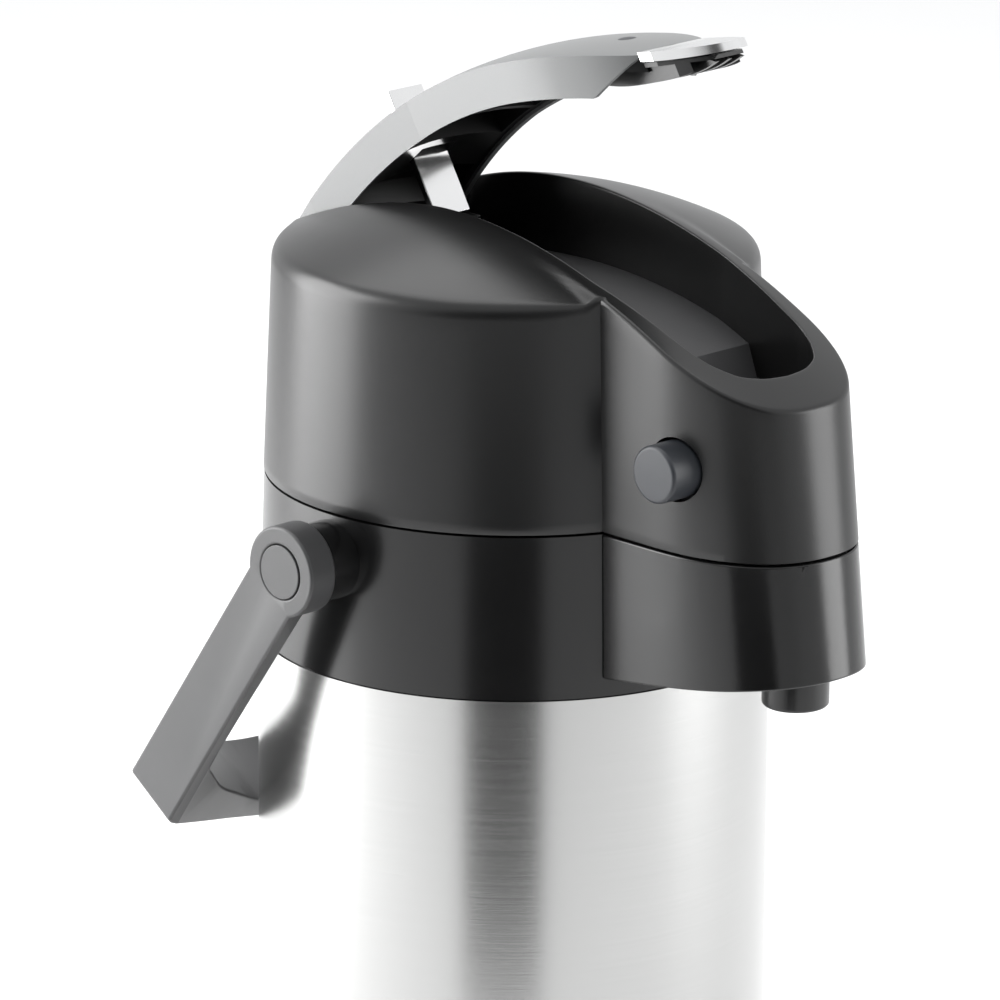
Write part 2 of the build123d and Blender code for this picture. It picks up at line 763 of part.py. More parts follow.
with BuildPart() as lever_tip:
    with BuildSketch(lever_side):
        with BuildLine():
            Spline((notch_u + 0.1, 1.9), (159, -2.2), (lever_len, -6.6), tangents=((1, -0.4), (1, -0.25)))
            Line((lever_len, -6.6), (lever_len, -9.2))
            Spline((lever_len, -9.2), (159, -5.2), (notch_u + 0.1, -1), tangents=((-1, 0.25), (-1, 0.4)))
            Line((notch_u + 0.1, -1), (notch_u + 0.1, 1.9))
        make_face()
    extrude(amount=tip_w, both=True)
    with BuildSketch(lever_plan):
        with BuildLine():
            Polyline((152, -tip_w), (notch_u, -tip_w), (notch_u, tip_w), (152, tip_w))
            Spline((152, tip_w), (167, 8.5), (lever_len, 0), tangents=((1, -0.25), (0, -1)))
            Spline((lever_len, 0), (167, -8.5), (152, -tip_w), tangents=((0, -1), (-1, -0.25)))
        make_face()
    extrude(amount=60, both=True, mode=Mode.INTERSECT)

with BuildPart() as grip_plan:
    with BuildSketch(lever_plan):
        with BuildLine():
            Polyline((152, 1.2 - tip_w), (148, -lever_w), (grip_u, -lever_w), (grip_u, lever_w))
            Polyline((grip_u, lever_w), (148, lever_w), (152, tip_w - 1.2))
            Spline((152, tip_w - 1.2), (166, 7.5), (lever_len - 2.5, 0), tangents=((1, -0.25), (0, -1)))
            Spline((lever_len - 2.5, 0), (166, -7.5), (152, 1.2 - tip_w), tangents=((0, -1), (-1, -0.25)))
        make_face()
    extrude(amount=60, both=True)

rib_t, rib_pitch = 1.6, 5.2

with BuildPart() as finger_grip:
    add(lever_slab(1.7, 5, notch_u - 0.1))
    add(lever_box(grip_u, notch_u, lever_w), mode=Mode.INTERSECT)
    # lengthwise ribs under the grip and the tip, on a thin backing
    for place in range(-2, 3):
        with BuildSketch(lever_side.offset(place * rib_pitch)):
            with BuildLine():
                Spline((grip_u + 2, 2), (134, -4.2), (notch_u, -8), (158, -10.4), (168, -10.6))
                Spline((168, -10.6), (159, -5.6), (notch_u - 0.2, -1.4), tangents=((-1, 0.8), (-1, 0.4)))
                Polyline((notch_u - 0.2, -1.4), (grip_u + 2, 6.6), (grip_u + 2, 2))
            make_face()
        extrude(amount=rib_t / 2, both=True)
    with BuildSketch(lever_side):
        with BuildLine():
            Spline((notch_u - 0.2, -1.4), (159, -5.6), (169, -8.8))
            Polyline((169, -8.8), (168, -9.8))
            Spline((168, -9.8), (159, -6.8), (notch_u - 0.2, -3))
            Line((notch_u - 0.2, -3), (notch_u - 0.2, -1.4))
        make_face()
    extrude(amount=tip_w - 1.2, both=True)
    add(grip_plan.part, mode=Mode.INTERSECT)

with BuildPart() as lock_plate:
    with BuildSketch(lever_side):
        with BuildLine():
            back, front = foot_u - plate_t / 2, foot_u + plate_t / 2
            Polyline((back, foot_v), (front, foot_v), (front, plate_top), (back, plate_top), (back, foot_v))
        make_face()
    extrude(amount=plate_w / 2, both=True)

# ---- release button in the side of the nose -------------------------------------------------------
with BuildPart() as button_bracket:
    with BuildSketch(Plane.YZ.offset(-12)):
        with Locations((button_y, z(button_h - 12))):
            Rectangle(16, 34)
    extrude(amount=24)
    with BuildSketch(Plane.YZ.offset(-12)):
        with Locations((button_y, z(button_h))):
            Circle(3.06)
    extrude(amount=24, mode=Mode.SUBTRACT)
    with BuildSketch(Plane.XY.offset(z(-3))):
        with Locations((0, button_y)):
            Rectangle(60, 60)
    extrude(amount=3 + seam_gap / 2 + 3, mode=Mode.SUBTRACT)

spring_seat = 12.1         # distance of the spring's inner end from the middle plane
latch_x = 21.5             # distance of its outer end, which bears on the latch

with BuildPart() as release_button:
    with BuildSketch(Plane.YZ.offset(5 - nose_w)):
        with Locations((button_y, z(button_h))):
            Circle(button_r)
    extrude(amount=-(button_out + 5))
    fillet(release_button.faces().filter_by(Axis.X).sort_by(Axis.X)[0].edges(), radius=1.2)
    # stem that slides in the bracket
    with BuildSketch(Plane.YZ.offset(-6)):
        with Locations((button_y, z(button_h))):
            Circle(3)
    extrude(amount=10 - nose_w)

with BuildPart() as coil:
    with BuildLine() as coil_line:
        Helix(2.4, latch_x - spring_seat - 1.4, 5)
    with BuildSketch(Plane(origin=coil_line.line @ 0, z_dir=coil_line.line % 0)):
        Circle(0.5)
    sweep()

with BuildPart() as button_spring:
    with Locations(Plane(origin=(-spring_seat - 0.7, button_y, z(button_h)), z_dir=(-1, 0, 0))):
        add(coil.part)

# hooked plate that hangs from the button's stem down to the spout cover
with BuildPart() as latch:
    with BuildSketch(Plane.XZ.offset(-button_y - 4)):
        with BuildLine():
            top, shelf, tip = z(button_h + 6), z(-4), z(-7)
            Polyline((-latch_x, top), (-latch_x - 2, top), (-latch_x - 2, shelf), (-latch_x - 4.5, shelf))
            Polyline((-latch_x - 4.5, shelf), (-latch_x - 2, tip), (-latch_x, tip), (-latch_x, top))
        make_face()
    extrude(amount=8)
    with BuildSketch(Plane.YZ.offset(-20)):
        with Locations((button_y, z(button_h))):
            Circle(3)
    extrude(amount=-5, mode=Mode.SUBTRACT)

# ---- bail ---------------------------------------------------------------------------------------
hub_r = 13.8
cap_r = 8.3
pin_bore = 5.05
grip_t = 7.8               # thickness of the grip
grip_front, grip_back = -6, -31    # faces of the grip in the middle, from the arms' middle plane
bail_top = Plane(
    origin=bail_plane.origin,
    x_dir=(1, 0, 0),
    z_dir=(0, drop, -cos(radians(bail_tilt))),
)

with BuildPart() as bail:
    # arch of the bail, seen square to its arms
    with BuildSketch(bail_plane.offset(-arm_w * 2)):
        with BuildLine():
            Polyline((arm_out - arm_t, 0), (arm_out, 0), (arm_out, 2 - bail_len), (arm_out - 2, -bail_len))
            Line((arm_out - 2, -bail_len), (42, -131))
            Spline((42, -131), (0, -grip_reach), tangents=((-2, -1), (-1, 0)))
            Line((0, -grip_reach), (0, grip_t - grip_reach))
            Spline(
                (0, grip_t - grip_reach),
                (20, -133),
                (37, -125.3),
                (60, -108.5),
                (76, -95.5),
                (87, -83.5),
                (arm_out - arm_t, -71),
                tangents=((1, 0), (0, 1)),
            )
            Line((arm_out - arm_t, -71), (arm_out - arm_t, 0))
        make_face()
        mirror(about=Plane.YZ)
    extrude(amount=arm_w * 3)
    # the grip bows back from the arms, so that it passes behind the body
    with BuildSketch(bail_top.offset(-20)):
        with BuildLine():
            Polyline((arm_out, arm_w / 2), (arm_out, -arm_w / 2), (arm_out - arm_t, -arm_w / 2))
            rear = (arm_out - arm_t, -arm_w / 2)
            Spline(rear, (60, -20.5), (0, grip_back), tangents=((-1, -0.25), (-1, 0)))
            Line((0, grip_back), (0, grip_front))
            Spline((0, grip_front), (31.6, -2.5), (arm_out - arm_t, arm_w / 2), tangents=((1, 0), (4.8, 1)))
            Line((arm_out - arm_t, arm_w / 2), (arm_out, arm_w / 2))
        make_face()
        mirror(about=Plane.YZ)
    extrude(amount=grip_reach + 40, mode=Mode.INTERSECT)
    for side in (-1, 1):
        with BuildSketch(Plane.YZ.offset(side * hub_in)):
            with Locations((0, z(pivot_h))):
                Circle(hub_r)
        extrude(amount=side * (hub_out - hub_in))
        with BuildSketch(Plane.YZ.offset(side * hub_in)):
            with Locations((0, z(pivot_h))):
                Circle(pin_bore)
        extrude(amount=side * (hub_out - hub_in + 1), mode=Mode.SUBTRACT)
        with BuildSketch(Plane.YZ.offset(side * (hub_out - 2.5))):
            with Locations((0, z(pivot_h))):
                Circle(cap_r)
        extrude(amount=side * 4, mode=Mode.SUBTRACT)

pin_len = 6

with BuildPart() as pivot_pins:
    for side in (-1, 1):
        with BuildSketch(Plane.YZ.offset(side * (boss_face + 0.02))):
            with Locations((0, z(pivot_h))):
                Circle(5)
        extrude(amount=side * pin_len)
        with BuildSketch(Plane.YZ.offset(side * boss_face)):
            with Locations((0, z(pivot_h))):
                Circle(screw_r)
        extrude(amount=side * (pin_len + 3), mode=Mode.SUBTRACT)

with BuildPart() as bail_screws:
    for side in (-1, 1):
        add(screw((side * (boss_face + pin_len + 0.1), 0, z(pivot_h)), (-side, 0, 0), 5))


def bail_cap(side):
    """Round cap that covers the pivot in the hub's face."""
    with BuildPart() as cap:
        with BuildSketch(Plane.YZ.offset(side * (hub_out - 2.4))):
            with Locations((0, z(pivot_h))):
                Circle(cap_r - 0.1)
        extrude(amount=side * 2.6)
    return cap.part


# ---- labels and files ----------------------------------------------------------------------------
parts = {
    "swivel_base": swivel_base.part,
    "foot_pad": foot_pad.part,
    "swivel_washer": swivel_washer.part,
    "base_ring": base_ring.part,
    "outer_jacket": outer_jacket.part,
    "jacket_bottom": jacket_bottom.part,
    "inner_bottle": inner_bottle.part,
    "bottle_cushion": bottle_cushion.part,
    "mouth_seal": mouth_seal.part,
    "collar": collar.part,
    "spout_cover": spout_cover.part,
    "spout_screws": spout_screws.part,
    "stem_head": stem_head.part,
    "dip_tube": dip_tube.part,
    "delivery_pipe": delivery_pipe.part,
    "pipe_seal": pipe_seal.part,
    "nozzle": nozzle.part,
    "lid_hinge_bracket": lid_hinge_bracket.part,
    "lid_hinge_pin": lid_hinge_pin.part,
    "lid_shell": lid_shell.part,
    "recess_tray": recess_tray.part,
    "lid_plate": lid_plate.part,
    "lid_gasket": lid_gasket.part,
    "lid_screws": lid_screws.part,
    "lever_pin": lever_pin.part,
    "button_bracket": button_bracket.part,
    "pump_base": pump_base.part,
    "bellows": bellows.part,
    "return_spring": return_spring.part,
    "plunger": plunger.part,
    "lever_cover": lever_cover.part,
    "lever_body": lever_body.part,
    "lever_tip": lever_tip.part,
    "finger_grip": finger_grip.part,
    "lock_plate": lock_plate.part,
    "release_button": release_button.part,
    "button_spring": button_spring.part,
    "latch": latch.part,
    "bail": bail.part,
    "pivot_pins": pivot_pins.part,
    "bail_screws": bail_screws.part,
}
for side, word in ((-1, "left"), (1, "right")):
    parts[f"bail_cap_{word}"] = bail_cap(side)

for name, part in parts.items():
    part.label = name
    export_step(part, f"parts/{name}.step")
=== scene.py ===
"""Looks for the lever airpot: satin black mouldings, brushed steel, a plated lever, studio light."""
import json
import math

import bmesh
import bpy
import numpy as np
from mathutils import Matrix


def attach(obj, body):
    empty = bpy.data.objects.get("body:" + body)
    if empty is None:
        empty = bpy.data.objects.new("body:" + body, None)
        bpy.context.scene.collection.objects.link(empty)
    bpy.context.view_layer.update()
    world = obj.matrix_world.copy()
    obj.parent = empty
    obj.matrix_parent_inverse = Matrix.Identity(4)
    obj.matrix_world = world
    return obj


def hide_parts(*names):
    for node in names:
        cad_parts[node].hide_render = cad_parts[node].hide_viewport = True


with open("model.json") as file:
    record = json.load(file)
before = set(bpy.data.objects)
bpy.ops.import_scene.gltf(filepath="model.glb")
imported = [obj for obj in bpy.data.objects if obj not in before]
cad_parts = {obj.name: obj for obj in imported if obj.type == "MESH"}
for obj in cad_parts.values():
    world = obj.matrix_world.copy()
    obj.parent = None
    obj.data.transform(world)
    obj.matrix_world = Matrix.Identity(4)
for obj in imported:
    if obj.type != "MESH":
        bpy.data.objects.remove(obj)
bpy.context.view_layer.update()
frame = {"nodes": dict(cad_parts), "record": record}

MM = 0.001
SEAM = 0.281                        # height of the seam between the collar and the lid, in metres
LEVER_TILT = math.radians(31.5)     # the raised lever stands this far above its pressed place
LEVER_Y, LEVER_H = 60, 63           # the lever's pin, in mm from the axis and from the seam
ARCH_R = 163                        # radius of the lever's arch
ARCH_U, ARCH_V = 63.2, -137.8       # centre of that arch, in the lever's own axes
DOME_R, DOME_TOP = 158.5, 86.5      # radius of the lid's dome and its top above the seam
CROWN_R = 90                        # depth of the axis that the nose's top is turned about
BUTTON_Y, BUTTON_H = -98, 25.5      # centre of the release button, in mm; the height is from the seam
BUTTON_HOLE_R = 9.7
LEAN, FLARE = 0.123, 0.01           # lean of the nose's front and sides, per mm of height
JOIN_X = 30.25                      # half width of the nose where it leaves the drum
NOSE_STRAIGHT = 88                  # the nose's sides stay straight as far as this
VIEW = -43.9                        # compass angle of the camera, from the front
middle = (0, 0, SEAM)


# ---- shader maths ---------------------------------------------------------------------------------
class Value:
    """One shader socket; arithmetic on it adds Math nodes."""

    def __init__(self, sheet, socket):
        self.sheet = sheet
        self.socket = socket

    def _math(self, operation, *inputs):
        sockets = dict(enumerate(inputs))
        return self.sheet.node("ShaderNodeMath", {"operation": operation}, sockets)

    def __add__(self, other):
        return self._math("ADD", self, other)

    def __radd__(self, other):
        return self._math("ADD", other, self)

    def __mul__(self, other):
        return self._math("MULTIPLY", self, other)

    def __rmul__(self, other):
        return self._math("MULTIPLY", other, self)

    def clamp(self, low=0.0, high=1.0):
        return self.sheet.node("ShaderNodeClamp", {}, {0: self, 1: low, 2: high})


class NodeTree:
    """A tree of shader nodes that is filled by method calls."""

    def __init__(self, tree):
        self.tree = tree

    def put(self, socket, value):
        """Link a Value to a socket, or set a plain number or colour on it."""
        if isinstance(value, Value):
            self.tree.links.new(value.socket, socket)
        else:
            socket.default_value = value

    def node(self, kind, settings, inputs, output=0):
        """Add a node: its settings first, then the values or links of its sockets."""
        made = self.tree.nodes.new(kind)
        for key, setting in settings.items():
            if key == "stops":
                ramp = made.color_ramp
                while len(ramp.elements) < len(setting):
                    ramp.elements.new(0.5)
                for element, (position, colour) in zip(ramp.elements, setting):
                    element.position = position
                    element.color = colour
            else:
                setattr(made, key, setting)
        for key, value in inputs.items():
            self.put(made.inputs[key], value)
        return Value(self, made.outputs[output])


class Sheet(NodeTree):
    """A material and its node tree."""

    def __init__(self, name):
        self.material = bpy.data.materials.new(name)
        self.material.use_nodes = True
        super().__init__(self.material.node_tree)
        self.shader = self.tree.nodes["Principled BSDF"]
        self.place = self.node("ShaderNodeTexCoord", {}, {}, "Object")

    def scaled(self, x, y, z):
        """Object coordinates stretched along each axis."""
        return self.node("ShaderNodeMapping", {}, {"Vector": self.place, "Scale": (x, y, z)})

    def noise(self, vector, scale, detail=3.0, roughness=0.5):
        """Soft cloud pattern between 0 and 1."""
        sockets = {"Vector": vector, "Scale": scale, "Detail": detail, "Roughness": roughness}
        return self.node("ShaderNodeTexNoise", {}, sockets)

    def mix(self, factor, first, second):
        """Blend two colours."""
        sockets = {"Factor": factor, 6: first, 7: second}
        return self.node("ShaderNodeMix", {"data_type": "RGBA"}, sockets, 2)

    def bump(self, height, strength, distance):
        """Surface relief from a height pattern."""
        sockets = {"Height": height, "Strength": strength, "Distance": distance}
        self.finish(Normal=self.node("ShaderNodeBump", {}, sockets))

    def finish(self, **inputs):
        """Set or link sockets of the surface shader; underscores stand for spaces."""
        for key, value in inputs.items():
            self.put(self.shader.inputs[key.replace("_", " ")], value)


def grey(level, tint=(1.0, 1.0, 1.0)):
    """Colour of one brightness with a slight tint."""
    return (level * tint[0], level * tint[1], level * tint[2], 1.0)


# ---- finishes ---------------------------------------------------------------------------------------
def moulded_plastic(name, level, roughness, grain=0.12, tint=(1.0, 1.0, 1.03), coat=0.0, wear=0.35):
    """Moulded plastic: fine spark-eroded grain, faint cloudiness in colour and in gloss."""
    sheet = Sheet(name)
    cloud = sheet.noise(sheet.place, 22.0, 4.0)
    fine = sheet.noise(sheet.place, 2600.0, 2.0)
    smear = sheet.noise(sheet.scaled(1, 1, 0.3), 60.0, 5.0)
    colour = sheet.mix(cloud, grey(level * (1 - wear), tint), grey(level * (1 + wear), tint))
    sheet.finish(Base_Color=colour, Roughness=roughness - 0.05 + 0.07 * cloud + 0.05 * smear)
    sheet.finish(Coat_Weight=coat, Coat_Roughness=0.12, Specular_IOR_Level=0.5)
    sheet.bump(fine, grain, 0.00015)
    return sheet.material


def turned_steel(name, level, roughness, lines=0.35):
    """Steel brushed round the vertical axis: long level scratches, varied from line to line."""
    sheet = Sheet(name)
    split = sheet.node("ShaderNodeSeparateXYZ", {}, {0: sheet.place}, "Z")
    line_place = sheet.node("ShaderNodeCombineXYZ", {}, {2: split})
    coarse = sheet.noise(sheet.scaled(6, 6, 1500), 1.0, 4.0, 0.7)
    fine = sheet.noise(sheet.scaled(22, 22, 5200), 1.0, 3.0, 0.7)
    band = sheet.noise(line_place, 320.0, 4.0)
    tone = (0.45 * coarse + 0.35 * fine + 0.2 * band).clamp()
    colour = sheet.mix(tone, grey(level * 0.86, (1, 1, 0.99)), grey(level * 1.1, (1, 1, 0.99)))
    sheet.finish(Base_Color=colour, Metallic=1.0, Roughness=roughness - 0.08 + 0.16 * tone)
    sheet.bump(coarse * 0.5 + fine * 0.5, lines, 0.00006)
    return sheet.material


def silver_paint(name, level):
    """Fine silver lacquer: metal flake under a clear coat, a little cloudy."""
    sheet = Sheet(name)
    flake = sheet.noise(sheet.place, 3200.0, 2.0, 0.7)
    cloud = sheet.noise(sheet.place, 30.0, 4.0)
    tone = (0.6 * flake + 0.4 * cloud).clamp()
    colour = sheet.mix(tone, grey(level * 0.88, (0.97, 1.0, 1.0)), grey(level * 1.1, (0.99, 1.0, 1.0)))
    sheet.finish(Base_Color=colour, Metallic=0.15, Roughness=0.38 + 0.1 * flake)
    sheet.finish(Coat_Weight=0.2, Coat_Roughness=0.15)
    sheet.bump(flake, 0.06, 0.00004)
    return sheet.material


def plated(name, level, roughness, tint=(1.0, 1.0, 1.0)):
    """Plated moulding: nearly smooth metal with faint haze and hairline scratches."""
    sheet = Sheet(name)
    haze = sheet.noise(sheet.place, 35.0, 4.0)
    hair = sheet.noise(sheet.scaled(900, 30, 30), 1.0, 3.0, 0.6)
    colour = sheet.mix(haze, grey(level * 0.94, tint), grey(level * 1.05, tint))
    sheet.finish(Base_Color=colour, Metallic=1.0, Roughness=roughness + 0.05 * haze + 0.03 * hair)
    sheet.bump(hair, 0.05, 0.00005)
    return sheet.material


def soft_rubber(name, level, tint=(1.0, 1.0, 1.0)):
    """Rubber or silicone: matt, with a faint mottling."""
    sheet = Sheet(name)
    cloud = sheet.noise(sheet.place, 90.0, 4.0)
    fine = sheet.noise(sheet.place, 1500.0, 2.0)
    colour = sheet.mix(cloud, grey(level * 0.85, tint), grey(level * 1.15, tint))
    sheet.finish(Base_Color=colour, Roughness=0.62 + 0.12 * cloud)
    sheet.bump(fine, 0.2, 0.0001)
    return sheet.material


finishes = {
    "black_plastic": moulded_plastic("satin_black", 0.006, 0.3),
    "gloss_black": moulded_plastic("semi_gloss_black", 0.006, 0.2, grain=0.05),
    "grey_plastic": moulded_plastic("bail_grey", 0.05, 0.42),
    "button_plastic": moulded_plastic("button_blue_grey", 0.03, 0.42, tint=(0.9, 1.0, 1.2)),
    "inner_plastic": moulded_plastic("inner_grey", 0.06, 0.5),
    "brushed_steel": turned_steel("brushed_steel", 0.5, 0.25),
    "bottle_steel": turned_steel("bottle_steel", 0.65, 0.35),
    "silver_cover": silver_paint("silver_cover", 0.17),
    "bright_chrome": plated("bright_chrome", 0.8, 0.1),
    "zinc_steel": plated("zinc_steel", 0.6, 0.3),
    "seal_rubber": soft_rubber("seal_rubber", 0.5),
    "black_rubber": soft_rubber("black_rubber", 0.02),
    "bellows_rubber": soft_rubber("bellows_rubber", 0.09),
}

slot_of = {row["node"]: row["material_slot"] for row in frame["record"]["subparts"]}
for node, thing in frame["nodes"].items():
    thing.data.materials.clear()
    thing.data.materials.append(finishes[slot_of[node]])
# the floor of the recess is painted paler than the lid, a painted fill light standing in for light that
# falls into it; it is also rougher than the glossier lid around it
frame["nodes"]["recess_tray"].data.materials[0] = moulded_plastic("recess_black_painted_fill", 0.07, 0.5)


# ---- surfaces built from rows and columns ------------------------------------------------------------
def grid_mesh(name, grid):
    """Mesh from an array of rows of points, in mm from the seam; the last column joins the first."""
    rows, columns, _ = grid.shape
    points = grid.reshape(-1, 3) * MM + (0, 0, SEAM)
    index = np.arange(rows * columns).reshape(rows, columns)
    after = np.roll(index, -1, axis=1)
    faces = np.stack([index[:-1], after[:-1], after[1:], index[1:]], axis=-1).reshape(-1, 4)
    mesh = bpy.data.meshes.new(name)
    mesh.from_pydata(points.tolist(), [], faces.tolist())
    mesh.shade_smooth()
    thing = bpy.data.objects.new(name, mesh)
    bpy.context.collection.objects.link(thing)
    return thing


def adopt(piece, body, slot, *nodes):
    """Put a new piece on its body, give it a finish, and let it stand for CAD nodes."""
    piece.data.materials.clear()
    piece.data.materials.append(finishes[slot])
    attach(piece, body)
    if nodes:
        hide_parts(*nodes)
    return piece


def bend(first, corner, last, count):
    """Points of a rounded corner: a parabola from first to last, aimed at the corner."""
    s = np.linspace(0, 1, count)[:, None, None]
    return (1 - s) ** 2 * first + 2 * s * (1 - s) * corner + s**2 * last


def dome(x, y):
    """Height of the lid's dome: the top of a large ball."""
    return DOME_TOP - DOME_R + np.sqrt(DOME_R**2 - x**2 - y**2)


def nose_top(x, y):
    """Height of the nose's top: a falling curve along the middle, turned about a level axis below."""
    along = np.array([150, 127, 110, 93, 78, 62, 45, 20, 0])
    height = np.array([31, 44.5, 53.9, 62.5, 69.3, 75.2, 80, 84, 85.6])
    slope = np.gradient(height, along)
    order = np.argsort(along)
    along, height, slope = along[order], height[order], slope[order]
    reach = np.clip(-y, 0, 149.9)
    k = np.clip(np.searchsorted(along, reach, side="right") - 1, 0, len(along) - 2)
    step = along[k + 1] - along[k]
    s = (reach - along[k]) / step
    middle_height = ((1 + 2 * s) * (1 - s) ** 2 * height[k] + s * (1 - s) ** 2 * step * slope[k]
                     + s**2 * (3 - 2 * s) * height[k + 1] + s**2 * (s - 1) * step * slope[k + 1])
    return -CROWN_R + np.sqrt((middle_height + CROWN_R) ** 2 - x**2)


def lid_top(x, y):
    """The higher of the dome and the nose's top, blended where they cross."""
    ridge = nose_top(x, y) - np.clip(np.abs(x) - 29.8, 0, None) ** 2 * 0.25
    ridge = ridge - np.clip(y + 30, 0, None) ** 2 * 0.01
    ball = dome(x, y)
    gap = np.clip(0.5 + 0.5 * (ridge - ball) / 1.5, 0, 1)
    return ball * (1 - gap) + ridge * gap + 1.5 * gap * (1 - gap)


def lid_columns():
    """Matching stations round one half of the lid: drum angle, nose reach and turn, and rim point."""
    rim = np.array([(0, 69.5), (15, 67.9), (29.5, 62.9), (29.5, 55), (26, 8), (26, -60), (25.3, -67),
                    (23.3, -88), (22.5, -96), (20.6, -102.5), (15.75, -109.5), (8.5, -113), (0, -114)])
    place = np.array([0, 0.5, 1, 1.12, 1.5, 1.9, 2, 3, 3.3, 3.5, 3.7, 3.87, 4])
    stations = np.concatenate([np.linspace(0, 1, 16)[:-1], np.linspace(1, 2, 90)[:-1],
                               np.linspace(2, 3, 14)[:-1], np.linspace(3, 4, 40)])
    x = np.interp(stations, place, rim[:, 0])
    y = np.interp(stations, place, rim[:, 1])
    for _ in range(2):             # ease the corners of the rim, but not where it meets the back
        keep = stations < 1.2
        ease_x = np.convolve(np.pad(x, 2, mode="edge"), [0.1, 0.2, 0.4, 0.2, 0.1], "valid")
        ease_y = np.convolve(np.pad(y, 2, mode="edge"), [0.1, 0.2, 0.4, 0.2, 0.1], "valid")
        x = np.where(keep | (stations > 3.95), x, ease_x)
        y = np.where(keep, y, ease_y)
    return stations, x, y


def lid_outline(stations, height):
    """Outside of the lid at a height: the tapered drum, then the nose's side and its rounded front."""
    radius = 75.8 - 0.0371 * height
    first = np.arcsin(29.5 / radius)
    last = np.pi - np.arcsin(JOIN_X / radius)
    angle = np.where(stations < 1, stations * first, first + (stations - 1) * (last - first))
    angle = np.minimum(angle, last)
    side = 30.9 - FLARE * height
    front = 132.4 - LEAN * height
    join = np.sqrt(radius**2 - side**2)
    straight = join + (NOSE_STRAIGHT - join) * np.clip(stations - 2, 0, 1)
    turn = np.clip(stations - 3, 0, 1) * np.pi / 2
    power = 2 / 2.35
    nose_x = side * np.abs(np.cos(turn)) ** power
    nose_y = -straight - (front - NOSE_STRAIGHT) * np.abs(np.sin(turn)) ** power
    on_drum = stations < 2
    x = np.where(on_drum, radius * np.sin(angle), nose_x)
    y = np.where(on_drum, radius * np.cos(angle), nose_y)
    x = np.where(stations >= 3.9999, 0, x)
    return x, y


def lid_surface():
    """Lid from its lower edge up the wall, over the rounded shoulder, across the top and down the recess."""
    stations, rim_x, rim_y = lid_columns()
    crest = np.full(stations.shape, 68.0)
    for _ in range(12):            # where the wall would meet the top
        x, y = lid_outline(stations, crest)
        crest = lid_top(x, y)
    soft = np.interp(stations, [0, 1.9, 2, 2.1, 4], [4.2, 4.0, 2.2, 1.3, 1.3])
    rows = []
    for share in np.concatenate([[0.0, 0.004], np.linspace(0.05, 1, 14)]):
        height = 0.4 + (crest - soft - 0.4) * share
        x, y = lid_outline(stations, height)
        if share == 0.0:
            x, y = x * 0.9975, y * 0.9975
        rows.append(np.stack([x, y, height], axis=-1))
    corner_x, corner_y = lid_outline(stations, crest)
    corner = np.stack([corner_x, corner_y, crest], axis=-1)
    rim = np.stack([rim_x, rim_y, lid_top(rim_x, rim_y)], axis=-1)
    span = rim[:, :2] - corner[:, :2]
    length = np.linalg.norm(span, axis=1)
    inward = span / length[:, None]
    soft = np.minimum(soft, length * 0.45)
    lip = np.minimum(0.9, length * 0.3)

    def on_top(distance):
        x = corner[:, 0] + inward[:, 0] * distance
        y = corner[:, 1] + inward[:, 1] * distance
        return np.stack([x, y, lid_top(x, y)], axis=-1)

    rows += list(bend(rows[-1][None], corner[None], on_top(soft)[None], 8)[1:])
    for share in np.linspace(0, 1, 14)[1:]:
        rows.append(on_top(soft + (length - lip - soft) * share))
    low = rim - np.stack([0 * lip, 0 * lip, lip], axis=-1)
    rows += list(bend(rows[-1][None], rim[None], low[None], 6)[1:])
    floor = np.interp(rim_y, [-125, -78, -74, -38, 0, 36, 80], [34, 38, 47, 56.5, 59, 55, 42])
    for share in (0.3, 0.65, 1):
        step = low.copy()
        step[:, 2] = low[:, 2] + (np.minimum(floor, low[:, 2] - 1) - low[:, 2]) * share
        rows.append(step)
    half = np.array(rows)
    # the back of the recess is open above the lever pin
    behind = (np.abs(half[..., 0]) < 29.45) & (half[..., 1] > 50)
    half[..., 2] = np.where(behind, np.minimum(half[..., 2], 60.0), half[..., 2])
    other = half[:, -2:0:-1] * (-1, 1, 1)
    shell = grid_mesh("lid_surface", np.concatenate([half, other], axis=1)[::-1])
    solid = shell.modifiers.new("wall", "SOLIDIFY")
    solid.thickness, solid.offset = 0.0018, -1
    cutter = button_cutter()
    cut = shell.modifiers.new("button_hole", "BOOLEAN")
    cut.object, cut.solver = cutter, "EXACT"
    depsgraph = bpy.context.evaluated_depsgraph_get()
    done = bpy.data.meshes.new_from_object(shell.evaluated_get(depsgraph))
    shell.modifiers.clear()
    shell.data = done
    bpy.data.objects.remove(cutter)
    done.shade_smooth()
    done.set_sharp_from_angle(angle=math.radians(42))
    return adopt(shell, "lid", "black_plastic", "lid_shell")


def button_cutter():
    """Bar through one side of the nose, of the button hole's size."""
    outer, inner = -50, -10
    turn = np.linspace(0, 2 * np.pi, 64, endpoint=False)
    y = BUTTON_Y + BUTTON_HOLE_R * np.cos(turn)
    height = BUTTON_H + BUTTON_HOLE_R * np.sin(turn)
    ring = np.stack([0 * turn, y, height], axis=-1)
    ends = [ring * (1, 0, 0) + (x, BUTTON_Y, BUTTON_H) for x in (outer, inner)]
    rows = [ends[0], ring + (outer, 0, 0), ring + (inner, 0, 0), ends[1]]
    bar = grid_mesh("button_cutter", np.array(rows))
    clean = bmesh.new()
    clean.from_mesh(bar.data)
    bmesh.ops.remove_doubles(clean, verts=clean.verts, dist=1e-6)
    bmesh.ops.recalc_face_normals(clean, faces=clean.faces)
    clean.to_mesh(bar.data)
    clean.free()
    return bar


